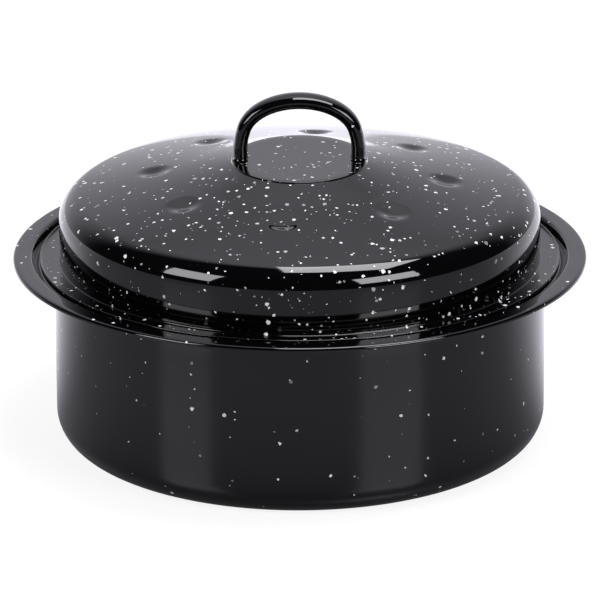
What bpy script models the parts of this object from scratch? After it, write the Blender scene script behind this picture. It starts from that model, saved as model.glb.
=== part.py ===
"""Low enamelled water bath canner: a drawn steel pan with a stepped rim, a domed lid with a loop
handle, and a loose wire rack with two folding bails that keeps jars off the pan's floor.

Metres, +Z up. The origin is the centre of the pan's base, where it rests on a table. The arch of
the lid's handle lies in the XZ plane, and the rack's bails hinge at its left and right.
"""

import math

import bmesh
import bpy
from mathutils import Matrix, Vector

MM = 0.001
TURNED_STEPS = 64

# Enamelled sheet
SHEET = 1.0 * MM
GAP = 0.3 * MM  # left between two pieces that touch, so that their solids never share a face

# Pan, measured on its outside
WALL_RADIUS = 128.7 * MM
CORNER_RADIUS = 16.0 * MM
LEDGE_HEIGHT = 96.6 * MM  # top of the shelf that the lid rests on
LEDGE_BEND = 2.4 * MM
LEDGE_RADIUS = 136.0 * MM
FLANGE_INNER_RADIUS = 140.3 * MM
RIM_HEIGHT = 100.0 * MM  # top of the outer flange
RIM_RADIUS = 150.0 * MM
RIM_CURL = 1.5 * MM
RIM_LIP = 0.9 * MM  # straight drop below the curl
STEP_EASE = 0.3 * MM  # softens both bends of the step
STEP_RUN = 1.2 * MM

# Lid, measured on its outside
LID_RADIUS = 125.7 * MM
LID_FILLET = 2.3 * MM
LID_LIP_RADIUS = 135.1 * MM
LID_LIP_BEND = 0.8 * MM
LID_LIP_RISE = 0.6 * MM  # straight rise above the bend
SHOULDER_RADIUS = 13.0 * MM
SHOULDER_HEIGHT = 120.6 * MM  # where the wall starts to bend inwards
CROWN_SLOPE = math.radians(15.2)  # at the shoulder
CROWN_REACH = 40.0 * MM  # length of the crown curve's control arm at the shoulder
BOSS_SLOPE = math.radians(32.0)  # just outside the raised centre
BOSS_REACH = 12.0 * MM
BOSS_RADIUS = 35.2 * MM
BOSS_HEIGHT = 150.4 * MM
BOSS_EDGE = 1.6 * MM

# Basting dimples pressed into the lid
DIMPLES = 8
DIMPLE_TURN = math.radians(-6.4)
DIMPLE_RING_RADIUS = 76.1 * MM
DIMPLE_RADIUS = 7.8 * MM
DIMPLE_DEPTH = 2.2 * MM
DIMPLE_STEPS = 16

# Loop handle, rolled from strip into a tube that is open along its inner side
HANDLE_FOOT_SPREAD = 30.6 * MM  # centre of the handle to the middle of a foot
HANDLE_CROWN_SPREAD = 29.6 * MM
HANDLE_RISE = 35.6 * MM  # boss to the top of the arch
HANDLE_LEG = 12.0 * MM
HANDLE_WIDTH = 13.0 * MM
HANDLE_DEPTH = 7.6 * MM
HANDLE_CORNER = 3.5 * MM
HANDLE_SLOT = 4.6 * MM
HANDLE_FOOT_SCALE = 0.93
HANDLE_ARCH_STEPS = 18

# Wire rack
RING_RADIUS = 110.0 * MM
RING_WIRE = 4.5 * MM
RING_HEIGHT = 13.0 * MM
DECK_WIRE = 3.2 * MM
DECK_WIRES = 9
DECK_SPACING = 24.0 * MM
DECK_OVERHANG = 1.0 * MM  # past the ring's centre line
BRACE_OFFSET = 45.0 * MM
FOOT_WIRE = 4.0 * MM
FOOT_WIDTH = 26.0 * MM
FOOT_BEND = 5.0 * MM
FEET = 4

# Folding bails that lift the rack: at rest they lie on the deck
BAIL_WIRE = 3.0 * MM
BAIL_HALF_WIDTH = 36.0 * MM
BAIL_REACH = 60.0 * MM  # hinge axis to the middle of the cross bar
BAIL_BEND = 11.0 * MM
EYE_RADIUS = 4.8 * MM  # centre line of the eye that loops round the ring
EYE_START = 40.0  # degrees round the eye, counted from straight out, where the wire ends
EYE_STEPS = 9


def clear_scene():
    for old in list(bpy.data.objects):
        bpy.data.objects.remove(old)


def new_collection(name):
    made = bpy.data.collections.new(name)
    bpy.context.scene.collection.children.link(made)
    return made


def new_material(name, colour, roughness, metallic):
    made = bpy.data.materials.new(name)
    made.use_nodes = True
    shader = made.node_tree.nodes["Principled BSDF"]
    shader.inputs["Base Color"].default_value = (*colour, 1.0)
    shader.inputs["Roughness"].default_value = roughness
    shader.inputs["Metallic"].default_value = metallic
    return made


def arc(centre, radius, start, end, steps):
    """Points on a circle in the profile plane, from start to end in degrees."""
    turns = [math.radians(start + (end - start) * i / steps) for i in range(steps + 1)]
    return [(centre[0] + radius * math.cos(a), centre[1] + radius * math.sin(a)) for a in turns]


def bezier(p0, p1, p2, p3, steps):
    """Points on a cubic curve in the profile plane, both ends included."""
    found = []
    for i in range(steps + 1):
        t = i / steps
        weights = ((1 - t) ** 3, 3 * t * (1 - t) ** 2, 3 * t * t * (1 - t), t**3)
        found.append(tuple(sum(w * p[k] for w, p in zip(weights, (p0, p1, p2, p3))) for k in (0, 1)))
    return found


def turned(name, profile, steps, collection):
    """A surface of revolution about Z from (radius, height) points, run down its outer side."""
    mesh = bpy.data.meshes.new(name)
    edges = [(i, i + 1) for i in range(len(profile) - 1)]
    mesh.from_pydata([(r, 0.0, z) for r, z in profile], edges, [])
    made = bpy.data.objects.new(name, mesh)
    collection.objects.link(made)
    screw = made.modifiers.new("turn", "SCREW")
    screw.axis = "Z"
    screw.steps = steps
    screw.render_steps = steps
    screw.use_merge_vertices = True
    screw.merge_threshold = 0.00001
    screw.use_smooth_shade = True
    return made


def thicken(made, thickness):
    """Sheet metal behind the surface that was drawn."""
    solidify = made.modifiers.new("sheet", "SOLIDIFY")
    solidify.thickness = thickness
    solidify.offset = -1
    solidify.use_even_offset = True


def wire(name, points, diameter, collection, material):
    """A round wire along a polyline."""
    curve = bpy.data.curves.new(name, "CURVE")
    curve.dimensions = "3D"
    curve.bevel_depth = diameter / 2
    curve.bevel_resolution = 2
    curve.use_fill_caps = True
    spline = curve.splines.new("POLY")
    spline.points.add(len(points) - 1)
    for target, point in zip(spline.points, points):
        target.co = (*point, 1.0)
    made = bpy.data.objects.new(name, curve)
    collection.objects.link(made)
    curve.materials.append(material)
    return made


def pan_profile():
    """Outside of the pan: the rim's rolled lip, then the underside of the rim, the wall and the base."""
    flange_under = RIM_HEIGHT - SHEET
    ledge_under = LEDGE_HEIGHT - SHEET
    curl = RIM_CURL
    curl_centre = (RIM_RADIUS - curl, RIM_HEIGHT - curl)
    inner = curl - SHEET
    points = [(curl_centre[0] + inner, curl_centre[1] - RIM_LIP)]
    points += arc(curl_centre, inner, 0, 90, 2)
    points += [(FLANGE_INNER_RADIUS + STEP_RUN, flange_under)]
    points += [(FLANGE_INNER_RADIUS, flange_under - STEP_EASE)]
    points += [(LEDGE_RADIUS + STEP_RUN / 2, ledge_under + STEP_EASE)]
    points += [(LEDGE_RADIUS - STEP_RUN / 2, ledge_under)]
    points += arc((WALL_RADIUS + LEDGE_BEND, ledge_under - LEDGE_BEND), LEDGE_BEND, 90, 180, 3)
    points += arc((WALL_RADIUS - CORNER_RADIUS, CORNER_RADIUS), CORNER_RADIUS, 0, -90, 7)
    points += [(0.0, 0.0)]
    return points


def lid_profile():
    """Top of the lid, from the centre of its raised boss out to the flange's upturned lip."""
    flange_top = LEDGE_HEIGHT + GAP + SHEET
    boss_turn = 90 - math.degrees(BOSS_SLOPE)
    boss_edge = arc((BOSS_RADIUS, BOSS_HEIGHT - BOSS_EDGE), BOSS_EDGE, 90, boss_turn, 2)
    shoulder_centre = (LID_RADIUS - SHOULDER_RADIUS, SHOULDER_HEIGHT)
    shoulder = arc(shoulder_centre, SHOULDER_RADIUS, 90 - math.degrees(CROWN_SLOPE), 0, 6)
    boss_end, crown_end = boss_edge[-1], shoulder[0]
    boss_arm = (
        boss_end[0] + BOSS_REACH * math.cos(BOSS_SLOPE),
        boss_end[1] - BOSS_REACH * math.sin(BOSS_SLOPE),
    )
    crown_arm = (
        crown_end[0] - CROWN_REACH * math.cos(CROWN_SLOPE),
        crown_end[1] + CROWN_REACH * math.sin(CROWN_SLOPE),
    )
    crown = bezier(boss_end, boss_arm, crown_arm, crown_end, 8)
    fillet = arc((LID_RADIUS + LID_FILLET, flange_top + LID_FILLET), LID_FILLET, 180, 270, 3)
    lip_face = LID_LIP_RADIUS - SHEET
    lip = arc((lip_face - LID_LIP_BEND, flange_top + LID_LIP_BEND), LID_LIP_BEND, -90, 0, 2)
    lip_end = (lip_face, lip[-1][1] + LID_LIP_RISE)
    return [(0.0, BOSS_HEIGHT), *boss_edge, *crown[1:-1], *shoulder, *fillet, *lip, lip_end]


def crown_point(profile, radius):
    """Height and downward slope of a falling profile at a radius."""
    for (r0, z0), (r1, z1) in zip(profile, profile[1:]):
        if r0 <= radius <= r1:
            return z0 + (z1 - z0) * (radius - r0) / (r1 - r0), math.atan2(z0 - z1, r1 - r0)
    raise ValueError(f"the profile has no point at radius {radius}")


def make_pan(collection, enamel):
    pan = turned("pan", pan_profile(), TURNED_STEPS, collection)
    thicken(pan, SHEET)
    pan.data.materials.append(enamel)


def dimple_frame(index, profile):
    """Where a dimple lies: on the crown, with its axis along the crown's normal."""
    angle = math.radians(360 / DIMPLES) * index + DIMPLE_TURN
    height, slope = crown_point(profile, DIMPLE_RING_RADIUS)
    place = Matrix.Translation((DIMPLE_RING_RADIUS, 0.0, height)) @ Matrix.Rotation(slope, 4, "Y")
    return Matrix.Rotation(angle, 4, "Z") @ place


def dimple_cap(name, sphere_radius, height, top, frame, collection):
    """The lower part of a sphere, with its lowest point at -height, closed by a flat top."""
    centre = sphere_radius - height
    reach = math.degrees(math.acos((centre - top) / sphere_radius))
    below = arc((0.0, centre), sphere_radius, -90 + reach, -90, 4)
    profile = [(0.0, top), *below[:-1], (0.0, -height)]
    made = turned(name, profile, DIMPLE_STEPS, collection)
    made.matrix_world = frame
    made.hide_render = True
    made.display_type = "WIRE"


def make_lid(collection, enamel):
    """The dimples are plugs joined under the sheet, then hollowed from above."""
    profile = lid_profile()
    lid = turned("lid", profile, TURNED_STEPS, collection)
    thicken(lid, SHEET)
    lid.data.materials.append(enamel)
    plugs = new_collection("dimple_plugs")
    hollows = new_collection("dimple_hollows")
    sphere = (DIMPLE_RADIUS**2 + DIMPLE_DEPTH**2) / (2 * DIMPLE_DEPTH)
    for index in range(DIMPLES):
        frame = dimple_frame(index, profile)
        dimple_cap(f"dimple_plug_{index}", sphere + SHEET, DIMPLE_DEPTH + SHEET, -SHEET / 2, frame, plugs)
        dimple_cap(f"dimple_hollow_{index}", sphere, DIMPLE_DEPTH, SHEET, frame, hollows)
    for name, operation, cutters in (("press", "UNION", plugs), ("hollow", "DIFFERENCE", hollows)):
        boolean = lid.modifiers.new(name, "BOOLEAN")
        boolean.operation = operation
        boolean.operand_type = "COLLECTION"
        boolean.collection = cutters
        boolean.solver = "EXACT"


def handle_path():
    """Centre line of the arch from the left foot to the right one, as (x, z, scale)."""
    foot = BOSS_HEIGHT + GAP
    arch_base = foot + HANDLE_LEG
    arch_rise = BOSS_HEIGHT + HANDLE_RISE - HANDLE_DEPTH / 2 - arch_base
    points = [(-HANDLE_FOOT_SPREAD, foot, HANDLE_FOOT_SCALE)]
    for i in range(HANDLE_ARCH_STEPS + 1):
        turn = math.pi * i / HANDLE_ARCH_STEPS
        scale = HANDLE_FOOT_SCALE + (1 - HANDLE_FOOT_SCALE) * math.sin(turn)
        points.append((-HANDLE_CROWN_SPREAD * math.cos(turn), arch_base + arch_rise * math.sin(turn), scale))
    points.append((HANDLE_FOOT_SPREAD, foot, HANDLE_FOOT_SCALE))
    return points


def handle_section():
    """Rolled strip in its own plane: (across, outwards), open on the inner side, outside then inside."""
    across = HANDLE_WIDTH / 2 - HANDLE_CORNER
    out = HANDLE_DEPTH / 2 - HANDLE_CORNER
    halves = []
    for radius in (HANDLE_CORNER, HANDLE_CORNER - SHEET):
        outer_corner = arc((across, out), radius, 90, 0, 3)
        inner_corner = arc((across, -out), radius, 0, -90, 3)
        halves.append([*outer_corner, *inner_corner, (HANDLE_SLOT / 2, -out - radius)])
    outside, inside = halves
    outside_mirrored = [(-x, y) for x, y in reversed(outside)]
    inside_mirrored = [(-x, y) for x, y in inside]
    return [*outside_mirrored, *outside, *reversed(inside), *inside_mirrored]


def handle_rings(mesh):
    """One ring of vertices for each point of the path; the feet end level."""
    path = handle_path()
    section = handle_section()
    rings = []
    for i, (x, z, scale) in enumerate(path):
        before = path[max(i - 1, 0)]
        after = path[min(i + 1, len(path) - 1)]
        along = Vector((after[0] - before[0], 0.0, after[1] - before[1])).normalized()
        if i in (0, len(path) - 1):
            along = Vector((0.0, 0.0, 1.0 if i == 0 else -1.0))
        outwards = Vector((-along.z, 0.0, along.x))
        centre = Vector((x, 0.0, z))
        across = Vector((0.0, 1.0, 0.0))
        rings.append([mesh.verts.new(centre + scale * (a * across + o * outwards)) for a, o in section])
    return rings


def make_handle(collection, enamel):
    """The rolled strip swept along the arch."""
    mesh = bmesh.new()
    rings = handle_rings(mesh)
    count = len(rings[0])
    for first, second in zip(rings, rings[1:]):
        for k in range(count):
            following = (k + 1) % count
            mesh.faces.new((first[k], first[following], second[following], second[k]))
    mesh.faces.new(rings[0])
    mesh.faces.new(list(reversed(rings[-1])))
    bmesh.ops.recalc_face_normals(mesh, faces=mesh.faces)
    data = bpy.data.meshes.new("lid_handle")
    mesh.to_mesh(data)
    mesh.free()
    data.shade_smooth()
    data.set_sharp_from_angle(angle=math.radians(40))
    handle = bpy.data.objects.new("lid_handle", data)
    collection.objects.link(handle)
    handle.data.materials.append(enamel)


def make_rack_ring(collection, steel):
    bpy.ops.mesh.primitive_torus_add(
        major_radius=RING_RADIUS,
        minor_radius=RING_WIRE / 2,
        major_segments=48,
        minor_segments=8,
        location=(0.0, 0.0, RING_HEIGHT),
    )
    ring = bpy.context.active_object
    ring.name = "rack_ring"
    ring.data.shade_smooth()
    for owner in list(ring.users_collection):
        owner.objects.unlink(ring)
    collection.objects.link(ring)
    ring.data.materials.append(steel)


def make_rack_deck(collection, steel):
    """Parallel wires that lie across the ring and the braces."""
    height = RING_HEIGHT + RING_WIRE / 2 + GAP + DECK_WIRE / 2
    for index in range(DECK_WIRES):
        y = DECK_SPACING * (index - (DECK_WIRES - 1) / 2)
        reach = math.sqrt((RING_RADIUS + DECK_OVERHANG) ** 2 - y**2)
        ends = [(-reach, y, height), (reach, y, height)]
        wire(f"rack_deck_wire_{index + 1}", ends, DECK_WIRE, collection, steel)


def make_rack_braces(collection, steel):
    """Two wires under the deck, butted against the inside of the ring."""
    inside = RING_RADIUS - RING_WIRE / 2 - GAP
    reach = math.sqrt(inside**2 - (BRACE_OFFSET + RING_WIRE / 2) ** 2)
    for side, x in (("left", -BRACE_OFFSET), ("right", BRACE_OFFSET)):
        ends = [(x, -reach, RING_HEIGHT), (x, reach, RING_HEIGHT)]
        wire(f"rack_brace_{side}", ends, RING_WIRE, collection, steel)


def make_rack_feet(collection, steel):
    """Bent wire feet that stand on the pan's floor under the ring."""
    low = SHEET + GAP + FOOT_WIRE / 2
    high = RING_HEIGHT - RING_WIRE / 2 - GAP
    half = FOOT_WIDTH / 2
    bend = arc((half - FOOT_BEND, low + FOOT_BEND), FOOT_BEND, -90, 0, 4)
    right = [*bend, (half, high)]
    outline = [(-x, z) for x, z in reversed(right)] + right
    for index in range(FEET):
        turn = Matrix.Rotation(math.radians(360 / FEET * (index + 0.5)), 4, "Z")
        points = [turn @ Vector((RING_RADIUS, x, z)) for x, z in outline]
        wire(f"rack_foot_{index + 1}", points, FOOT_WIRE, collection, steel)


def bail_side():
    """One arm in the hinge's own frame, from the eye's end to the middle of the cross bar.

    X runs from the hinge towards the cross bar, Y along the hinge axis and Z away from the deck.
    """
    eye = arc((0.0, 0.0), EYE_RADIUS, EYE_START, 360 - 90, EYE_STEPS)
    arm = [Vector((x, BAIL_HALF_WIDTH, z)) for x, z in eye]
    corner = (BAIL_REACH - BAIL_BEND, BAIL_HALF_WIDTH - BAIL_BEND)
    bend = arc(corner, BAIL_BEND, 90, 0, 5)
    arm += [Vector((x, y, -EYE_RADIUS)) for x, y in bend]
    return arm


def make_bail(name, side, collection, steel):
    """side is 1 for the right bail and -1 for the left one. The object's origin is on the hinge axis."""
    hinge_x = math.sqrt(RING_RADIUS**2 - BAIL_HALF_WIDTH**2)
    deck_top = RING_HEIGHT + RING_WIRE / 2 + GAP + DECK_WIRE
    rest_height = deck_top + GAP + BAIL_WIRE / 2 - RING_HEIGHT
    reach = math.hypot(BAIL_REACH, EYE_RADIUS)
    tilt = math.asin(rest_height / reach) + math.atan2(EYE_RADIUS, BAIL_REACH)
    half = bail_side()
    points = half + [Vector((p.x, -p.y, p.z)) for p in reversed(half)]
    bail = wire(name, points, BAIL_WIRE, collection, steel)
    facing = Matrix.Rotation(math.pi if side > 0 else 0.0, 4, "Z")
    place = Matrix.Translation((side * hinge_x, 0.0, RING_HEIGHT))
    bail.matrix_world = place @ facing @ Matrix.Rotation(-tilt, 4, "Y")


def main():
    clear_scene()
    canner = new_collection("water_bath_canner")
    enamel_pan = new_material("enamel_pan", (0.012, 0.012, 0.014), 0.08, 0.0)
    enamel_lid = new_material("enamel_lid", (0.012, 0.012, 0.014), 0.08, 0.0)
    enamel_handle = new_material("enamel_handle", (0.010, 0.010, 0.011), 0.08, 0.0)
    plated_wire = new_material("plated_wire", (0.62, 0.63, 0.65), 0.22, 1.0)
    make_pan(canner, enamel_pan)
    make_lid(canner, enamel_lid)
    make_handle(canner, enamel_handle)
    make_rack_ring(canner, plated_wire)
    make_rack_deck(canner, plated_wire)
    make_rack_braces(canner, plated_wire)
    make_rack_feet(canner, plated_wire)
    make_bail("rack_bail_left", -1, canner, plated_wire)
    make_bail("rack_bail_right", 1, canner, plated_wire)
    bpy.context.view_layer.update()


main()
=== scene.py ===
"""Looks of the low enamelled water bath canner: black speckled porcelain enamel on the pan, the lid and
the lid's loop handle, and a bright plated wire rack inside. Metres, +Z up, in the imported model's frame.
"""

import math

import bmesh
import bpy
from mathutils import Matrix, Vector


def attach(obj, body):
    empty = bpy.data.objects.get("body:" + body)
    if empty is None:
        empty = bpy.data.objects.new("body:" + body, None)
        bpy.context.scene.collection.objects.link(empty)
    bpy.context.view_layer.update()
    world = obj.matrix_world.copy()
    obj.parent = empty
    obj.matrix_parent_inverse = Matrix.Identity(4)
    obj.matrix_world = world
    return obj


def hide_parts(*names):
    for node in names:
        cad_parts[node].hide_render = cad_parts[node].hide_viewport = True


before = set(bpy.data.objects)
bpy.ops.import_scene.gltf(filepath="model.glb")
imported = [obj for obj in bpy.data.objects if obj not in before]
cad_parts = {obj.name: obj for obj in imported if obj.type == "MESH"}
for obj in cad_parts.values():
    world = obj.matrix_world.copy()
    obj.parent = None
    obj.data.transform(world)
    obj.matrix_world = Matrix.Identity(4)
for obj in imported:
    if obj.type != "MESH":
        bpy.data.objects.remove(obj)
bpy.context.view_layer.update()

MM = 0.001

# Fineness of the meshes: steps round a turned piece, along curves and along straight stretches
ROUND_STEPS = 360
BEAD_STEPS = 8
BEND_STEPS = 8
SMALL_BEND_STEPS = 6
CORNER_STEPS = 16
RIM_STEPS = 4
WALL_STEPS = 8
BASE_STEPS = 10
BOSS_TOP_STEPS = 8
BOSS_EDGE_STEPS = 5
CROWN_STEPS = 64
SHOULDER_STEPS = 20
LID_WALL_STEPS = 5
LID_FLANGE_STEPS = 3
HANDLE_LEG_STEPS = 16
HANDLE_ARCH_STEPS = 72
HANDLE_SECTION_STEPS = 24
WIRE_SIDES = 16
RING_STEPS = 144
FOOT_BEND_STEPS = 10
EYE_STEPS = 24
BAIL_BEND_STEPS = 12
ON_AXIS = 1e-7  # metres from the axis that count as on it
SAME_POINT = 1e-6  # metres between vertices that become one
SHARP_ANGLE = math.radians(50)

# Enamelled sheet
SHEET = 1.0 * MM
GAP = 0.3 * MM  # left between pieces that would otherwise touch

# Pan, measured on its outside
WALL_RADIUS = 128.7 * MM
CORNER_RADIUS = 16.0 * MM
LEDGE_HEIGHT = 96.6 * MM
LEDGE_BEND = 2.4 * MM
LEDGE_RADIUS = 136.4 * MM
GROOVE_RADIUS = 138.4 * MM
GROOVE_DEPTH = 1.5 * MM
GROOVE_BEND = 1.4 * MM
FLANGE_INNER_RADIUS = 140.3 * MM
RIM_HEIGHT = 100.0 * MM
RIM_RADIUS = 150.0 * MM
RIM_CURL = 1.5 * MM
RIM_LIP = 0.9 * MM
STEP_BEND = 0.3 * MM

# Lid, measured on its outside
LID_RADIUS = 125.7 * MM
LID_FILLET = 0.8 * MM
LID_LIP_RADIUS = 136.2 * MM
LID_LIP_BEND = 0.8 * MM
LID_LIP_RISE = 0.6 * MM
SHOULDER_RADIUS = 14.2 * MM
SHOULDER_HEIGHT = 119.4 * MM
CROWN_SLOPE = math.radians(14.0)
CROWN_REACH = 22.0 * MM
FLARE_SLOPE = math.radians(20.0)
FLARE_REACH = 13.0 * MM
BOSS_RADIUS = 35.2 * MM
BOSS_HEIGHT = 150.4 * MM
BOSS_STEP = 0.7 * MM
BOSS_STEP_WIDTH = 0.35 * MM
BOSS_EDGE = 0.25 * MM
BOSS_STRETCH = 0.15  # how much longer the boss is from front to back
BOSS_STRETCH_REACH = 62.0 * MM

# Basting dimples pressed into the lid
DIMPLES = 8
DIMPLE_TURN = math.radians(-6.4)
DIMPLE_RING_RADIUS = 76.1 * MM
DIMPLE_RADIUS = 10.0 * MM
DIMPLE_DEPTH = 1.7 * MM

# Loop handle, rolled from strip
HANDLE_FOOT_SPREAD = 30.6 * MM
HANDLE_CROWN_SPREAD = 29.6 * MM
HANDLE_RISE = 35.6 * MM
HANDLE_LEG = 12.0 * MM
HANDLE_LEG_EASE = 1.6  # above 1, the steps up a leg are finer near its foot
HANDLE_BLEND = 3  # points on each side that soften the way from a leg to the arch
HANDLE_WIDTH = 13.0 * MM
HANDLE_DEPTH = 8.1 * MM
HANDLE_FULLNESS = 2.3  # power of the section's superellipse
HANDLE_SLOT = 4.6 * MM
HANDLE_FOOT_SCALE = 0.93
HANDLE_WELD_HEIGHT = 1.8 * MM
HANDLE_WELD_FLARE = 0.12

# Wire rack and its folding bails
RING_RADIUS = 110.0 * MM
RING_WIRE = 4.5 * MM
RING_HEIGHT = 13.0 * MM
DECK_WIRE = 3.2 * MM
DECK_WIRES = 9
DECK_SPACING = 24.0 * MM
DECK_OVERHANG = 1.0 * MM
BRACE_OFFSET = 45.0 * MM
FOOT_WIRE = 4.0 * MM
FOOT_WIDTH = 26.0 * MM
FOOT_BEND = 5.0 * MM
FEET = 4
BAIL_WIRE = 3.0 * MM
BAIL_HALF_WIDTH = 36.0 * MM
BAIL_REACH = 60.0 * MM
BAIL_BEND = 11.0 * MM
EYE_RADIUS = 4.8 * MM
EYE_START = 40.0  # degrees
EYE_END = 270.0

# Camera: in front and above, a long way off, with a long lens
CAMERA_ELEVATION = math.radians(21.0959)
CAMERA_DISTANCE = 17 * RIM_RADIUS
CAMERA_LENS = 288.2
CAMERA_SENSOR = 36.0
CAMERA_ROLL = math.radians(-0.2161)
CAMERA_CLIP_END = 50.0
AIM_HEIGHT = 72.3 * MM

# Flecks in the enamel: each cell has one candidate
LAYER_SHIFT = (0.131, 0.217, 0.173)  # metres between the cells of one layer and the next
CROWD_NONE = 0.36  # noise at which flecks are fewest
CROWD_FULL = 0.62  # noise at which they are most
FEWEST_FLECKS = 0.12  # share of the most
FLECK_SIZE_POWER = 1.3  # above 1, small flecks are commoner
SMALLEST_FLECK = 0.42  # share of the largest one's radius
FLECK_EDGE = 0.10 * MM  # width over which a fleck ends
FLECK_DIM = 0.16
FLECK_WHITE = 0.86
FLECK_WHITE_FROM = 0.45  # random level from which a fleck is as white as it gets
FLECK_ROUGHNESS = 0.10  # added to the enamel's
FLECK_HEIGHT = 0.10 * MM
FLECK_RELIEF = 0.5
TEAR_SIZE = 1.1 * MM  # irregularity of the flecks' outlines
TEAR_REACH = 1.3 * MM

# Enamel between the flecks
ENAMEL_BLACK = (0.0011, 0.0010, 0.0013, 1.0)
ENAMEL_IOR = 1.52
ENAMEL_SMOOTH = 0.035
ENAMEL_SMUDGED = 0.075
SMUDGE_SIZE = 32.0 * MM
SWELL_SIZE = 34.0 * MM
PEEL_SIZE = 5.0 * MM
PEEL_SHARE = 0.022  # of the swell's height
RIPPLE = 0.10 * MM
HANDLE_RIPPLE = 0.05 * MM

# Plated wire
WIRE_DARK = (0.52, 0.53, 0.55, 1.0)
WIRE_LIGHT = (0.72, 0.73, 0.75, 1.0)
WIRE_BRIGHT = 0.14  # roughness where the plating is bright
WIRE_DULL = 0.26
WIRE_PATCH_SIZE = 14.0 * MM
GRAIN_SIZE = 0.9 * MM
GRAIN_ROUGHNESS = 0.06
GRAIN_HEIGHT = 0.04 * MM
GRAIN_RELIEF = 0.25

# Nearly all of a noise texture's values lie between these two
NOISE_LOW = 0.3
NOISE_HIGH = 0.7

# Surroundings, as reflections see them
WHITE = (1.0, 1.0, 1.0, 1.0)
COOL_WHITE = (0.985, 0.965, 1.06, 1.0)
LIGHT_COLOUR = (1.0, 0.985, 1.03)
LIGHT_AIM_HEIGHT = 0.12
AMBIENT = 0.02
BACKDROP_EDGE = 0.35  # cosine of the turn away from straight back, where the backdrop ends
BACKDROP_FULL = 0.95  # the same, where it has its full brightness
BACKDROP_LOW = 0.97  # brightness at the horizon
BACKDROP_MIDDLE = 0.58
BACKDROP_TOP = 0.70  # added to the middle's, overhead
MIDDLE_HEIGHT = 0.60  # sine of the elevation
TOP_HEIGHT = 0.95

# Table
TABLE_REACH = 6.0  # from its centre to each side
TABLE_TURN = 0.06  # moves its painted light from straight back towards the right
TABLE_FRONT_END = -0.05  # cosine of the turn away from straight back, where its painted light is dimmest
TABLE_BACK_END = 0.92  # the same, where its painted light is brightest
# Painted light: how strongly the table glows in reflections, at the front and at the back
TABLE_FRONT_PAINTED_LIGHT = 0.42
TABLE_BACK_PAINTED_LIGHT = 1.7
TABLE_PAINTED_SHADE = 0.68  # painted shade: share of the glow taken away at the pan's wall
# How far the painted shade reaches out from the pan's wall
TABLE_PAINTED_SHADE_REACH = 70.0 * MM
TABLE_GLOSS = 0.10
TABLE_ROUGHNESS = 0.27
TABLE_GLOW = 0.86  # as the camera sees it
TABLE_SHADE = 0.22


# ---------------------------------------------------------------- shapes in the profile plane


def arc(centre, radius, start, end, steps):
    """Points on a circle in the profile plane, from start to end in degrees."""
    turns = [math.radians(start + (end - start) * i / steps) for i in range(steps + 1)]
    return [(centre[0] + radius * math.cos(a), centre[1] + radius * math.sin(a)) for a in turns]


def bezier(p0, p1, p2, p3, steps):
    """Points on a cubic curve in the profile plane, both ends included."""
    found = []
    for i in range(steps + 1):
        t = i / steps
        weights = ((1 - t) ** 3, 3 * t * (1 - t) ** 2, 3 * t * t * (1 - t), t**3)
        found.append(tuple(sum(w * p[k] for w, p in zip(weights, (p0, p1, p2, p3))) for k in (0, 1)))
    return found


def straight(p0, p1, steps):
    """Points between two ends, both left out."""
    return [
        (p0[0] + (p1[0] - p0[0]) * i / steps, p0[1] + (p1[1] - p0[1]) * i / steps) for i in range(1, steps)
    ]


def rounded(before, corner, after, radius, steps):
    """A corner between two straight runs, rounded to a radius."""
    ways = []
    for end in (before, after):
        length = math.hypot(end[0] - corner[0], end[1] - corner[1])
        ways.append(((end[0] - corner[0]) / length, (end[1] - corner[1]) / length))
    (ax, ay), (bx, by) = ways
    half = math.acos(max(-1.0, min(1.0, ax * bx + ay * by))) / 2
    reach = radius / math.tan(half)
    middle = math.hypot(ax + bx, ay + by)
    away = radius / math.sin(half)
    centre = (corner[0] + (ax + bx) / middle * away, corner[1] + (ay + by) / middle * away)
    first = (corner[0] + ax * reach, corner[1] + ay * reach)
    last = (corner[0] + bx * reach, corner[1] + by * reach)
    start = math.degrees(math.atan2(first[1] - centre[1], first[0] - centre[0]))
    end = math.degrees(math.atan2(last[1] - centre[1], last[0] - centre[0]))
    turn = (end - start + 180) % 360 - 180
    return arc(centre, radius, start, start + turn, steps)


def normals_of(points):
    """Unit normals on the left of the way the profile runs, mitred at each point."""
    sides = []
    for (x0, y0), (x1, y1) in zip(points, points[1:]):
        length = math.hypot(x1 - x0, y1 - y0)
        sides.append(((y0 - y1) / length, (x1 - x0) / length))
    found = [sides[0]]
    for (ax, ay), (bx, by) in zip(sides, sides[1:]):
        mitre = 1 + ax * bx + ay * by
        found.append(((ax + bx) / mitre, (ay + by) / mitre))
    return [*found, sides[-1]]


def offset(points, distance):
    return [(x + nx * distance, y + ny * distance) for (x, y), (nx, ny) in zip(points, normals_of(points))]


def closed_section(face, back):
    """Joins two faces of the sheet, both run from the free edge to the axis, with a bead at the edge."""
    back = [*back[:-1], (0.0, back[-1][1])]
    (x0, y0), (x1, y1) = face[0], back[0]
    middle = ((x0 + x1) / 2, (y0 + y1) / 2)
    radius = math.hypot(x1 - x0, y1 - y0) / 2
    start = math.degrees(math.atan2(y1 - middle[1], x1 - middle[0]))
    out = (face[0][0] - face[1][0], face[0][1] - face[1][1])
    bead = arc(middle, radius, start, start + 180, BEAD_STEPS)[1:-1]
    tip = bead[len(bead) // 2]
    if (tip[0] - middle[0]) * out[0] + (tip[1] - middle[1]) * out[1] < 0:
        bead = arc(middle, radius, start, start - 180, BEAD_STEPS)[1:-1]
    return [*face, *reversed(back), *bead]


def finished(name, mesh):
    """Turns a bmesh into smooth mesh data, its double points merged and its faces turned outwards."""
    bmesh.ops.remove_doubles(mesh, verts=mesh.verts, dist=SAME_POINT)
    bmesh.ops.recalc_face_normals(mesh, faces=mesh.faces)
    data = bpy.data.meshes.new(name)
    mesh.to_mesh(data)
    mesh.free()
    data.shade_smooth()
    return data


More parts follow.
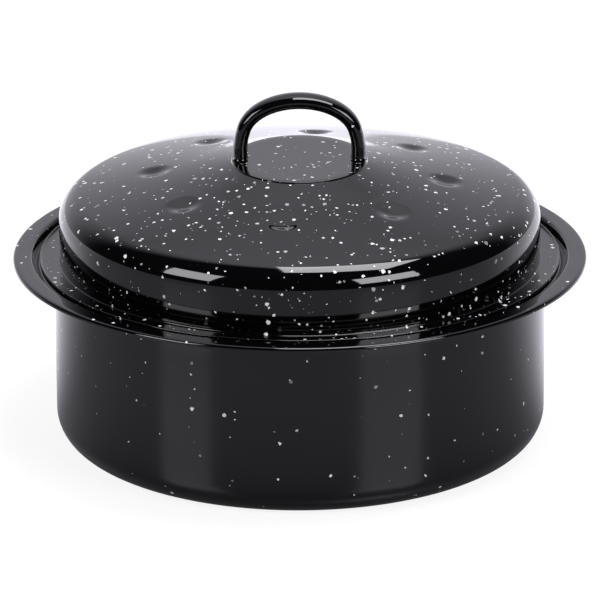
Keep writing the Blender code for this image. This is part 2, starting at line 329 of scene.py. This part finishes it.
def lathe(name, outline):
    """A mesh turned about Z from a closed section that meets the axis at two points."""
    mesh = bmesh.new()
    verts = [mesh.verts.new((r, 0.0, z)) for r, z in outline]
    edges = []
    for first, second in zip(verts, [*verts[1:], verts[0]]):
        if max(first.co.x, second.co.x) > ON_AXIS:
            edges.append(mesh.edges.new((first, second)))
    whole = 2 * math.pi
    bmesh.ops.spin(
        mesh, geom=[*verts, *edges], axis=(0, 0, 1), cent=(0, 0, 0), angle=whole, steps=ROUND_STEPS
    )
    return finished(name, mesh)


def skin(name, mesh, rings, closed=False):
    """Joins rings of points one after the other: into a loop, or with flat caps at both ends."""
    pairs = list(zip(rings, rings[1:]))
    if closed:
        pairs.append((rings[-1], rings[0]))
    for first, second in pairs:
        for k in range(len(first)):
            following = (k + 1) % len(first)
            mesh.faces.new((first[k], first[following], second[following], second[k]))
    if not closed:
        mesh.faces.new(list(reversed(rings[0])))
        mesh.faces.new(rings[-1])
    data = finished(name, mesh)
    data.set_sharp_from_angle(angle=SHARP_ANGLE)
    return data


def place(name, data, material, body, node):
    """Puts a finished mesh in the scene, on its body, in place of its CAD node.

    Its material says which of the record's slots it finishes.
    """
    made = bpy.data.objects.new(name, data)
    bpy.context.scene.collection.objects.link(made)
    data.materials.clear()
    data.materials.append(material)
    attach(made, body)
    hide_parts(node)


# ---------------------------------------------------------------- materials


class Tree:
    """A short way to write shader nodes."""

    def __init__(self, tree):
        self.tree = tree
        self.tree.nodes.clear()

    def node(self, kind, values=None, **settings):
        made = self.tree.nodes.new(kind)
        for key, value in settings.items():
            setattr(made, key, value)
        for key, value in (values or {}).items():
            socket = made.inputs[key]
            if isinstance(value, bpy.types.NodeSocket):
                self.tree.links.new(value, socket)
            else:
                socket.default_value = value
        return made

    def math(self, operation, *values):
        return self.node("ShaderNodeMath", dict(enumerate(values)), operation=operation).outputs[0]

    def vector(self, operation, *values, scale=None):
        made = self.node("ShaderNodeVectorMath", dict(enumerate(values)), operation=operation)
        if scale is not None:
            made.inputs["Scale"].default_value = scale
        return made.outputs[0]

    def noise(self, vector, size, detail):
        """Noise whose lumps are about as far apart as size."""
        values = {"Vector": vector, "Scale": 1 / size, "Detail": detail, "Roughness": 0.5}
        return self.node("ShaderNodeTexNoise", values, noise_dimensions="3D")

    def remap(self, value, low, high, to_low=0.0, to_high=1.0, smooth=False):
        values = {0: value, 1: low, 2: high, 3: to_low, 4: to_high}
        kind = "SMOOTHSTEP" if smooth else "LINEAR"
        return self.node("ShaderNodeMapRange", values, interpolation_type=kind).outputs[0]

    def mix(self, factor, first, second):
        made = self.node("ShaderNodeMix", data_type="RGBA")
        for index, value in ((0, factor), (6, first), (7, second)):
            if isinstance(value, bpy.types.NodeSocket):
                self.tree.links.new(value, made.inputs[index])
            else:
                made.inputs[index].default_value = value
        return made.outputs[2]


def new_tree(name):
    """A material without nodes. Its slot property keeps the name, which Blender may number."""
    material = bpy.data.materials.new(name)
    material["slot"] = name
    material.use_nodes = True
    return material, Tree(material.node_tree)


def grey(level):
    return (level, level, level, 1.0)


def fleck_layer(t, where, number, cell, radius, keep, cluster):
    """Flecks of one size: one candidate in each cell, kept at random and more often in clusters.

    Returns how much fleck there is at a point, and that fleck's own random brightness.
    """
    shifted = t.vector("ADD", where, tuple(number * shift for shift in LAYER_SHIFT))
    cells = t.vector("SCALE", shifted, scale=1 / cell)
    values = {"Vector": cells, "Scale": 1.0, "Randomness": 1.0}
    spots = t.node("ShaderNodeTexVoronoi", values, voronoi_dimensions="3D", feature="F1")
    chance = t.node("ShaderNodeSeparateColor", {"Color": spots.outputs["Color"]})
    crowd = t.noise(spots.outputs["Position"], cluster / cell, detail=1.0).outputs[0]
    odds = t.math("MULTIPLY", t.remap(crowd, CROWD_NONE, CROWD_FULL, FEWEST_FLECKS, 1.0), keep)
    kept = t.math("LESS_THAN", chance.outputs[1], odds)
    spread = t.math("POWER", chance.outputs[0], FLECK_SIZE_POWER)
    size = t.math("MULTIPLY_ADD", spread, 1 - SMALLEST_FLECK, SMALLEST_FLECK)
    limit = t.math("MULTIPLY", size, radius / cell)
    inner = t.math("SUBTRACT", limit, FLECK_EDGE / cell)
    inside = t.remap(spots.outputs["Distance"], limit, inner)
    return t.math("MULTIPLY", inside, kept), chance.outputs[2]


def enamel(name, layers, ripple=RIPPLE):
    """Glossy black porcelain enamel with white flecks, a slight ripple and smudges.

    A layer of flecks has the size of its cells, the radius of its largest fleck, the share of cells
    that keep theirs in a cluster, and the size of the clusters.
    """
    material, t = new_tree(name)
    where = t.node("ShaderNodeTexCoord").outputs["Object"]
    wobble = t.noise(where, TEAR_SIZE, detail=1.5).outputs["Color"]
    wobble = t.vector("SCALE", t.vector("SUBTRACT", wobble, (0.5, 0.5, 0.5)), scale=TEAR_REACH)
    torn = t.vector("ADD", where, wobble)
    flecks = None
    colour = ENAMEL_BLACK
    for index, layer in enumerate(layers):
        amount, bright = fleck_layer(t, torn, index + 1, *layer)
        level = t.remap(bright, 0.0, FLECK_WHITE_FROM, FLECK_DIM, FLECK_WHITE)
        white = t.node("ShaderNodeCombineColor", {0: level, 1: level, 2: level}).outputs[0]
        colour = t.mix(amount, colour, white)
        flecks = amount if flecks is None else t.math("MAXIMUM", flecks, amount)
    smudge = t.noise(where, SMUDGE_SIZE, detail=3.0).outputs[0]
    smooth = t.remap(smudge, NOISE_LOW, NOISE_HIGH, ENAMEL_SMOOTH, ENAMEL_SMUDGED)
    rough = t.math("ADD", smooth, t.math("MULTIPLY", flecks, FLECK_ROUGHNESS))
    swell = t.noise(where, SWELL_SIZE, detail=0.5).outputs[0]
    peel = t.noise(where, PEEL_SIZE, detail=1.0).outputs[0]
    height = t.math("MULTIPLY_ADD", peel, PEEL_SHARE, swell)
    waves = t.node("ShaderNodeBump", {"Strength": 1.0, "Distance": ripple, "Height": height})
    relief = {"Strength": FLECK_RELIEF, "Distance": FLECK_HEIGHT, "Height": flecks}
    raised = t.node("ShaderNodeBump", {**relief, "Normal": waves.outputs[0]})
    shader = t.node(
        "ShaderNodeBsdfPrincipled",
        {"Base Color": colour, "Roughness": rough, "IOR": ENAMEL_IOR, "Normal": raised.outputs[0]},
    )
    t.node("ShaderNodeOutputMaterial", {"Surface": shader.outputs[0]})
    return material


def plated_wire():
    """Bright plating with a fine grain, and a little dullness in patches."""
    material, t = new_tree("plated_wire")
    where = t.node("ShaderNodeTexCoord").outputs["Object"]
    patches = t.noise(where, WIRE_PATCH_SIZE, detail=4.0).outputs[0]
    grain = t.noise(where, GRAIN_SIZE, detail=3.0).outputs[0]
    colour = t.mix(patches, WIRE_DARK, WIRE_LIGHT)
    dulled = t.remap(patches, NOISE_LOW, NOISE_HIGH, WIRE_BRIGHT, WIRE_DULL)
    rough = t.math("ADD", dulled, t.math("MULTIPLY", grain, GRAIN_ROUGHNESS))
    bump = t.node("ShaderNodeBump", {"Strength": GRAIN_RELIEF, "Distance": GRAIN_HEIGHT, "Height": grain})
    shader = t.node(
        "ShaderNodeBsdfPrincipled",
        {"Base Color": colour, "Roughness": rough, "Metallic": 1.0, "Normal": bump.outputs[0]},
    )
    t.node("ShaderNodeOutputMaterial", {"Surface": shader.outputs[0]})
    return material


# ---------------------------------------------------------------- pan


def pan_face():
    """Underside and outside of the pan, from the rim's lip to the axis."""
    ledge_under = LEDGE_HEIGHT - SHEET
    curl_centre = (RIM_RADIUS - RIM_CURL, RIM_HEIGHT - RIM_CURL)
    inner = RIM_CURL - SHEET
    curl = arc(curl_centre, inner, 0, 90, SMALL_BEND_STEPS)
    lip_end = (curl_centre[0] + inner, curl_centre[1] - RIM_LIP + SHEET / 2)
    corners = [
        (RIM_RADIUS, RIM_HEIGHT),
        (FLANGE_INNER_RADIUS, RIM_HEIGHT),
        (GROOVE_RADIUS, LEDGE_HEIGHT - GROOVE_DEPTH),
        (LEDGE_RADIUS, LEDGE_HEIGHT),
        (WALL_RADIUS, LEDGE_HEIGHT),
    ]
    under = offset(corners, SHEET)
    step = []
    for k, radius in ((1, STEP_BEND), (2, GROOVE_BEND), (3, STEP_BEND)):
        step += rounded(under[k - 1], under[k], under[k + 1], radius, SMALL_BEND_STEPS)
    bend_centre = (WALL_RADIUS + LEDGE_BEND, ledge_under - LEDGE_BEND)
    bend = arc(bend_centre, LEDGE_BEND, 90, 180, BEND_STEPS)
    corner = arc((WALL_RADIUS - CORNER_RADIUS, CORNER_RADIUS), CORNER_RADIUS, 0, -90, CORNER_STEPS)
    rim = straight(curl[-1], step[0], RIM_STEPS)
    wall = straight(bend[-1], corner[0], WALL_STEPS)
    base = straight(corner[-1], (0.0, 0.0), BASE_STEPS)
    return [lip_end, *curl, *rim, *step, *bend, *wall, *corner, *base, (0.0, 0.0)]


def make_pan(material):
    face = pan_face()
    outline = closed_section(face, offset(face, -SHEET))
    place("pan_shell", lathe("pan_shell", outline), material, "pan", "pan")


# ---------------------------------------------------------------- lid


def boss_side():
    """The small step round the boss, with both its edges rounded."""
    top = (0.0, BOSS_HEIGHT)
    edge = (BOSS_RADIUS, BOSS_HEIGHT)
    foot = (BOSS_RADIUS + BOSS_STEP_WIDTH, BOSS_HEIGHT - BOSS_STEP)
    flare = (foot[0] + math.cos(FLARE_SLOPE) * BOSS_STEP, foot[1] - math.sin(FLARE_SLOPE) * BOSS_STEP)
    upper = rounded(top, edge, foot, BOSS_EDGE, BOSS_EDGE_STEPS)
    lower = rounded(edge, foot, flare, BOSS_EDGE, BOSS_EDGE_STEPS)
    return upper + lower


def lid_top():
    """Top of the lid, from the lip at the flange's edge to the axis."""
    flange_top = LEDGE_HEIGHT + GAP + SHEET
    boss = boss_side()
    shoulder_centre = (LID_RADIUS - SHOULDER_RADIUS, SHOULDER_HEIGHT)
    shoulder = arc(shoulder_centre, SHOULDER_RADIUS, 90 - math.degrees(CROWN_SLOPE), 0, SHOULDER_STEPS)
    boss_end, crown_end = boss[-1], shoulder[0]
    boss_arm = (
        boss_end[0] + FLARE_REACH * math.cos(FLARE_SLOPE),
        boss_end[1] - FLARE_REACH * math.sin(FLARE_SLOPE),
    )
    crown_arm = (
        crown_end[0] - CROWN_REACH * math.cos(CROWN_SLOPE),
        crown_end[1] + CROWN_REACH * math.sin(CROWN_SLOPE),
    )
    crown = bezier(boss_end, boss_arm, crown_arm, crown_end, CROWN_STEPS)
    fillet_centre = (LID_RADIUS + LID_FILLET, flange_top + LID_FILLET)
    fillet = arc(fillet_centre, LID_FILLET, 180, 270, BEND_STEPS)
    lip_face = LID_LIP_RADIUS - SHEET
    lip_centre = (lip_face - LID_LIP_BEND, flange_top + LID_LIP_BEND)
    lip = arc(lip_centre, LID_LIP_BEND, -90, 0, SMALL_BEND_STEPS)
    lip_end = (lip_face, lip[-1][1] + LID_LIP_RISE - SHEET / 2)
    middle = (0.0, BOSS_HEIGHT)
    boss_top = straight(middle, boss[0], BOSS_TOP_STEPS)
    wall = straight(shoulder[-1], fillet[0], LID_WALL_STEPS)
    flange = straight(fillet[-1], lip[0], LID_FLANGE_STEPS)
    outwards = [middle, *boss_top, *boss, *crown[1:-1], *shoulder, *wall, *fillet, *flange, *lip, lip_end]
    return list(reversed(outwards))


def dimple_drop(point):
    """How far the sheet is pressed down at a point of the crown."""
    angle = math.atan2(point.y, point.x)
    pitch = 2 * math.pi / DIMPLES
    index = round((angle - DIMPLE_TURN) / pitch)
    centre = DIMPLE_TURN + index * pitch
    away = Vector((point.x, point.y)) - DIMPLE_RING_RADIUS * Vector((math.cos(centre), math.sin(centre)))
    share = away.length / DIMPLE_RADIUS
    if share >= 1.0:
        return 0.0
    return DIMPLE_DEPTH * (1 - share * share) ** 2


def stretch_boss(data):
    """Draws the boss out from front to back, and the crown round it by less and less."""
    for vertex in data.vertices:
        radius = math.hypot(vertex.co.x, vertex.co.y)
        if radius < BOSS_STRETCH_REACH and vertex.co.z > SHOULDER_HEIGHT:
            share = max(0.0, (radius - BOSS_RADIUS) / (BOSS_STRETCH_REACH - BOSS_RADIUS))
            fade = 1 - share * share * (3 - 2 * share)
            vertex.co.y *= 1 + BOSS_STRETCH * fade


def press_dimples(data):
    """Presses the ring of dimples into the crown, outside the part that stretch_boss moves."""
    for vertex in data.vertices:
        radius = math.hypot(vertex.co.x, vertex.co.y)
        if abs(radius - DIMPLE_RING_RADIUS) < DIMPLE_RADIUS and vertex.co.z > SHOULDER_HEIGHT:
            vertex.co.z -= dimple_drop(vertex.co)


def make_lid(material):
    top = lid_top()
    outline = closed_section(top, offset(top, SHEET))
    data = lathe("lid_shell", outline)
    stretch_boss(data)
    press_dimples(data)
    place("lid_shell", data, material, "lid", "lid")


# ---------------------------------------------------------------- lid handle


def handle_path():
    """Centre line of the arch from the left foot to the right one, as (x, z, scale)."""
    foot = BOSS_HEIGHT + GAP
    arch_base = foot + HANDLE_LEG
    arch_rise = BOSS_HEIGHT + HANDLE_RISE - HANDLE_DEPTH / 2 - arch_base
    points = []
    legs = [HANDLE_LEG * (i / HANDLE_LEG_STEPS) ** HANDLE_LEG_EASE for i in range(HANDLE_LEG_STEPS)]
    for height in legs:
        points.append((-HANDLE_FOOT_SPREAD, foot + height, HANDLE_FOOT_SCALE))
    for i in range(HANDLE_ARCH_STEPS + 1):
        turn = math.pi * i / HANDLE_ARCH_STEPS
        scale = HANDLE_FOOT_SCALE + (1 - HANDLE_FOOT_SCALE) * math.sin(turn)
        points.append((-HANDLE_CROWN_SPREAD * math.cos(turn), arch_base + arch_rise * math.sin(turn), scale))
    for height in reversed(legs):
        points.append((HANDLE_FOOT_SPREAD, foot + height, HANDLE_FOOT_SCALE))
    eased = []
    for i, (x, z, scale) in enumerate(points):
        near = [points[i]]
        if HANDLE_BLEND <= i < len(points) - HANDLE_BLEND:
            near = points[i - HANDLE_BLEND : i + HANDLE_BLEND + 1]
        low = max(0.0, 1 - (z - foot) / HANDLE_WELD_HEIGHT)
        flared = scale * (1 + HANDLE_WELD_FLARE * low * low)
        eased.append((sum(p[0] for p in near) / len(near), z, flared))
    return eased


def handle_section():
    """Rolled strip in its own plane: (across, outwards), rounded outside and open on the inner side."""
    halves = []
    for inset in (0.0, SHEET):
        across, out = HANDLE_WIDTH / 2 - inset, HANDLE_DEPTH / 2 - inset
        last = -math.acos((HANDLE_SLOT / 2 / across) ** (HANDLE_FULLNESS / 2))
        half = []
        for i in range(HANDLE_SECTION_STEPS + 1):
            turn = math.pi / 2 + (last - math.pi / 2) * i / HANDLE_SECTION_STEPS
            x = across * abs(math.cos(turn)) ** (2 / HANDLE_FULLNESS)
            y = out * math.copysign(abs(math.sin(turn)) ** (2 / HANDLE_FULLNESS), math.sin(turn))
            half.append((x, y))
        halves.append(half)
    outside, inside = halves
    middle = ((outside[-1][0] + inside[-1][0]) / 2, (outside[-1][1] + inside[-1][1]) / 2)
    radius = (inside[-1][1] - outside[-1][1]) / 2
    bead = arc(middle, radius, 270, 90, SMALL_BEND_STEPS)[1:-1]
    right = [*outside, *bead, *reversed(inside)]
    return [*right, *((-x, y) for x, y in reversed(right))]


def make_handle(material):
    mesh = bmesh.new()
    path = handle_path()
    section = handle_section()
    rings = []
    for i, (x, z, scale) in enumerate(path):
        before, after = path[max(i - 1, 0)], path[min(i + 1, len(path) - 1)]
        along = Vector((after[0] - before[0], 0.0, after[1] - before[1])).normalized()
        outwards = Vector((-along.z, 0.0, along.x))
        centre = Vector((x, 0.0, z))
        ring = [mesh.verts.new(centre + scale * (Vector((0, a, 0)) + o * outwards)) for a, o in section]
        rings.append(ring)
    place("lid_handle_loop", skin("lid_handle_loop", mesh, rings), material, "lid", "lid_handle")


# ---------------------------------------------------------------- wire rack


def tube(name, points, diameter, closed=False):
    """A round wire along a polyline, cut off flat at its ends or closed into a ring."""
    mesh = bmesh.new()
    count = len(points)
    rings = []
    previous = None
    for i, point in enumerate(points):
        before = points[(i - 1) % count] if closed or i else point
        after = points[(i + 1) % count] if closed or i < count - 1 else point
        along = (after - before).normalized()
        if previous is None:
            previous = along.orthogonal().normalized()
        across = (previous - along * previous.dot(along)).normalized()
        previous = across
        second = along.cross(across)
        ring = []
        for k in range(WIRE_SIDES):
            turn = 2 * math.pi * k / WIRE_SIDES
            spoke = math.cos(turn) * across + math.sin(turn) * second
            ring.append(mesh.verts.new(point + diameter / 2 * spoke))
        rings.append(ring)
    return skin(name, mesh, rings, closed)


def make_ring(material):
    turns = [2 * math.pi * i / RING_STEPS for i in range(RING_STEPS)]
    points = [Vector((RING_RADIUS * math.cos(a), RING_RADIUS * math.sin(a), RING_HEIGHT)) for a in turns]
    data = tube("rack_ring_wire", points, RING_WIRE, closed=True)
    place("rack_ring_wire", data, material, "rack", "rack_ring")


def make_deck(material):
    """Parallel wires on top of the ring."""
    height = RING_HEIGHT + RING_WIRE / 2 + GAP + DECK_WIRE / 2
    for index in range(DECK_WIRES):
        y = DECK_SPACING * (index - (DECK_WIRES - 1) / 2)
        reach = math.sqrt((RING_RADIUS + DECK_OVERHANG) ** 2 - y**2)
        ends = [Vector((-reach, y, height)), Vector((reach, y, height))]
        name = f"rack_deck_wire_{index + 1}"
        place(f"{name}_plated", tube(name, ends, DECK_WIRE), material, "rack", name)


def make_braces(material):
    """Two wires across the inside of the ring, under the deck."""
    inside = RING_RADIUS - RING_WIRE / 2 - GAP
    reach = math.sqrt(inside**2 - (BRACE_OFFSET + RING_WIRE / 2) ** 2)
    for side, x in (("left", -BRACE_OFFSET), ("right", BRACE_OFFSET)):
        ends = [Vector((x, -reach, RING_HEIGHT)), Vector((x, reach, RING_HEIGHT))]
        name = f"rack_brace_{side}"
        place(f"{name}_plated", tube(name, ends, RING_WIRE), material, "rack", name)


def make_feet(material):
    """Bent wires that stand on the pan's floor and carry the ring."""
    low = SHEET + GAP + FOOT_WIRE / 2
    high = RING_HEIGHT - RING_WIRE / 2 - GAP
    half = FOOT_WIDTH / 2
    bend = arc((half - FOOT_BEND, low + FOOT_BEND), FOOT_BEND, -90, 0, FOOT_BEND_STEPS)
    right = [*bend, (half, high)]
    outline = [(-x, z) for x, z in reversed(right)] + right
    for index in range(FEET):
        turn = Matrix.Rotation(math.radians(360 / FEET * (index + 0.5)), 4, "Z")
        points = [turn @ Vector((RING_RADIUS, x, z)) for x, z in outline]
        name = f"rack_foot_{index + 1}"
        place(f"{name}_plated", tube(name, points, FOOT_WIRE), material, "rack", name)


def make_bail(name, side, material):
    """One folding bail, with its eyes looped round the ring. side is -1 for left and 1 for right."""
    eye = arc((0.0, 0.0), EYE_RADIUS, EYE_START, EYE_END, EYE_STEPS)
    arm = [Vector((x, BAIL_HALF_WIDTH, z)) for x, z in eye]
    corner = (BAIL_REACH - BAIL_BEND, BAIL_HALF_WIDTH - BAIL_BEND)
    arm += [Vector((x, y, -EYE_RADIUS)) for x, y in arc(corner, BAIL_BEND, 90, 0, BAIL_BEND_STEPS)]
    points = arm + [Vector((p.x, -p.y, p.z)) for p in reversed(arm)]
    hinge_x = math.sqrt(RING_RADIUS**2 - BAIL_HALF_WIDTH**2)
    deck_top = RING_HEIGHT + RING_WIRE / 2 + GAP + DECK_WIRE
    rest_height = deck_top + GAP + BAIL_WIRE / 2 - RING_HEIGHT
    tilt = math.asin(rest_height / math.hypot(BAIL_REACH, EYE_RADIUS)) + math.atan2(EYE_RADIUS, BAIL_REACH)
    facing = Matrix.Rotation(math.pi if side > 0 else 0.0, 4, "Z")
    where = Matrix.Translation((side * hinge_x, 0.0, RING_HEIGHT)) @ facing @ Matrix.Rotation(-tilt, 4, "Y")
    data = tube(f"{name}_plated", [where @ p for p in points], BAIL_WIRE)
    place(f"{name}_plated", data, material, name, name)


# ---------------------------------------------------------------- studio


def make_camera():
    data = bpy.data.cameras.new("camera")
    data.sensor_width = CAMERA_SENSOR
    data.lens = CAMERA_LENS
    data.clip_end = CAMERA_CLIP_END
    camera = bpy.data.objects.new("camera", data)
    bpy.context.scene.collection.objects.link(camera)
    camera.location = (
        0.0,
        -CAMERA_DISTANCE * math.cos(CAMERA_ELEVATION),
        CAMERA_DISTANCE * math.sin(CAMERA_ELEVATION),
    )
    look = (Vector((0.0, 0.0, AIM_HEIGHT)) - camera.location).to_track_quat("-Z", "Y").to_matrix().to_4x4()
    look = look @ Matrix.Rotation(CAMERA_ROLL, 4, "Z")
    camera.rotation_euler = look.to_euler()
    bpy.context.scene.camera = camera


def direction(azimuth, elevation):
    """A unit vector. Azimuth counts from the front, -Y, towards the right, +X; both are in degrees."""
    a, e = math.radians(azimuth), math.radians(elevation)
    return Vector((math.sin(a) * math.cos(e), -math.cos(a) * math.cos(e), math.sin(e)))


def softbox(name, azimuth, elevation, size, distance, radiance, level=False):
    """A rectangular light that faces the object or, if level, straight down."""
    width, height = size
    data = bpy.data.lights.new(name, "AREA")
    data.shape = "RECTANGLE"
    data.size = width
    data.size_y = height
    data.energy = radiance * math.pi * width * height
    data.color = LIGHT_COLOUR
    light = bpy.data.objects.new(name, data)
    bpy.context.scene.collection.objects.link(light)
    target = Vector((0.0, 0.0, LIGHT_AIM_HEIGHT))
    light.location = target + distance * direction(azimuth, elevation)
    if not level:
        light.rotation_euler = (target - light.location).to_track_quat("-Z", "Y").to_euler()


def make_world():
    """White to the camera. Everything else meets a backdrop behind the object, brightest at the horizon
    and overhead, and very little light from the front and the sides.
    """
    world = bpy.data.worlds.new("studio")
    world.use_nodes = True
    bpy.context.scene.world = world
    t = Tree(world.node_tree)
    way = t.node("ShaderNodeTexCoord").outputs["Generated"]
    part = t.node("ShaderNodeSeparateXYZ", {0: way})
    flat = t.vector("MULTIPLY", way, (1.0, 1.0, 0.0))
    facing = t.node("ShaderNodeSeparateXYZ", {0: t.vector("NORMALIZE", flat)}).outputs[1]
    sector = t.remap(facing, BACKDROP_EDGE, BACKDROP_FULL, smooth=True)
    low = t.remap(part.outputs[2], 0.0, MIDDLE_HEIGHT, BACKDROP_LOW, BACKDROP_MIDDLE)
    high = t.remap(part.outputs[2], MIDDLE_HEIGHT, TOP_HEIGHT, 0.0, BACKDROP_TOP)
    level = t.math("MULTIPLY_ADD", t.math("ADD", low, high), sector, AMBIENT)
    backdrop = t.node("ShaderNodeBackground", {"Color": COOL_WHITE, "Strength": level})
    plain = t.node("ShaderNodeBackground", {"Color": WHITE, "Strength": 1.0})
    seen = t.node("ShaderNodeLightPath").outputs["Is Camera Ray"]
    shown = t.node("ShaderNodeMixShader", {0: seen, 1: backdrop.outputs[0], 2: plain.outputs[0]})
    t.node("ShaderNodeOutputWorld", {"Surface": shown.outputs[0]})


def floor_material():
    """Pale table, nearly white to the camera, with a faint contact shadow.

    Reflections see it glow with painted light, brightest at the back and dimmest at the front, and with
    painted shade close to the pan.
    """
    material, t = new_tree("pale_table")
    where = t.node("ShaderNodeTexCoord").outputs["Object"]
    part = t.node("ShaderNodeSeparateXYZ", {0: where})
    far = t.node("ShaderNodeVectorMath", {0: where}, operation="LENGTH").outputs["Value"]
    # Painted light: the glow that reflections see is stronger towards the back and weaker at the front
    back = t.math("DIVIDE", part.outputs[1], far)
    side = t.math("DIVIDE", part.outputs[0], far)
    turned = t.math("MULTIPLY_ADD", side, TABLE_TURN, back)
    around = t.remap(turned, TABLE_FRONT_END, TABLE_BACK_END, TABLE_FRONT_PAINTED_LIGHT, TABLE_BACK_PAINTED_LIGHT, smooth=True)
    # Painted shade: the glow that reflections see fades close to the pan's wall
    away = t.math("DIVIDE", t.math("SUBTRACT", WALL_RADIUS, far), TABLE_PAINTED_SHADE_REACH)
    out = t.math("MULTIPLY_ADD", t.math("EXPONENT", away), -TABLE_PAINTED_SHADE, 1.0)
    painted_light = t.math("MULTIPLY", around, out)
    glow = t.node("ShaderNodeEmission", {"Color": COOL_WHITE, "Strength": painted_light})
    gloss = t.node("ShaderNodeBsdfGlossy", {"Color": grey(TABLE_GLOSS), "Roughness": TABLE_ROUGHNESS})
    mirrored = t.node("ShaderNodeAddShader", {0: glow.outputs[0], 1: gloss.outputs[0]})
    bright = t.node("ShaderNodeEmission", {"Color": WHITE, "Strength": TABLE_GLOW})
    shade = t.node("ShaderNodeBsdfDiffuse", {"Color": grey(TABLE_SHADE)})
    plain = t.node("ShaderNodeAddShader", {0: bright.outputs[0], 1: shade.outputs[0]})
    seen = t.node("ShaderNodeLightPath").outputs["Is Camera Ray"]
    shown = t.node("ShaderNodeMixShader", {0: seen, 1: mirrored.outputs[0], 2: plain.outputs[0]})
    t.node("ShaderNodeOutputMaterial", {"Surface": shown.outputs[0]})
    return material


def make_floor():
    mesh = bmesh.new()
    bmesh.ops.create_grid(mesh, x_segments=1, y_segments=1, size=TABLE_REACH)
    data = bpy.data.meshes.new("table_top")
    mesh.to_mesh(data)
    mesh.free()
    data.materials.append(floor_material())
    table = bpy.data.objects.new("table_top", data)
    bpy.context.scene.collection.objects.link(table)


def make_studio():
    make_camera()
    make_world()
    make_floor()
    softbox(
        "ceiling_box", azimuth=67, elevation=75, size=(0.95, 0.70), distance=1.48, radiance=9.0, level=True
    )
    softbox("left_box", azimuth=-53, elevation=26, size=(0.66, 0.68), distance=1.6, radiance=7.0)
    softbox("right_box", azimuth=41.5, elevation=24, size=(0.78, 0.56), distance=1.6, radiance=8.0)
    bpy.context.scene.view_settings.view_transform = "Standard"


# ---------------------------------------------------------------- the canner


def main():
    lid_enamel = enamel(
        "lid_enamel",
        [
            (4.8 * MM, 1.20 * MM, 0.95, 40 * MM),
            (3.8 * MM, 0.80 * MM, 0.72, 34 * MM),
            (3.0 * MM, 0.42 * MM, 0.40, 28 * MM),
        ],
    )
    pan_enamel = enamel(
        "pan_enamel",
        [(5.5 * MM, 1.15 * MM, 0.35, 60 * MM), (4.6 * MM, 0.6 * MM, 0.32, 50 * MM)],
    )
    handle_enamel = enamel("handle_enamel", [(5.0 * MM, 0.9 * MM, 0.35, 60 * MM)], ripple=HANDLE_RIPPLE)
    wire = plated_wire()
    make_pan(pan_enamel)
    make_lid(lid_enamel)
    make_handle(handle_enamel)
    make_ring(wire)
    make_deck(wire)
    make_braces(wire)
    make_feet(wire)
    make_bail("rack_bail_left", -1, wire)
    make_bail("rack_bail_right", 1, wire)
    make_studio()


main()
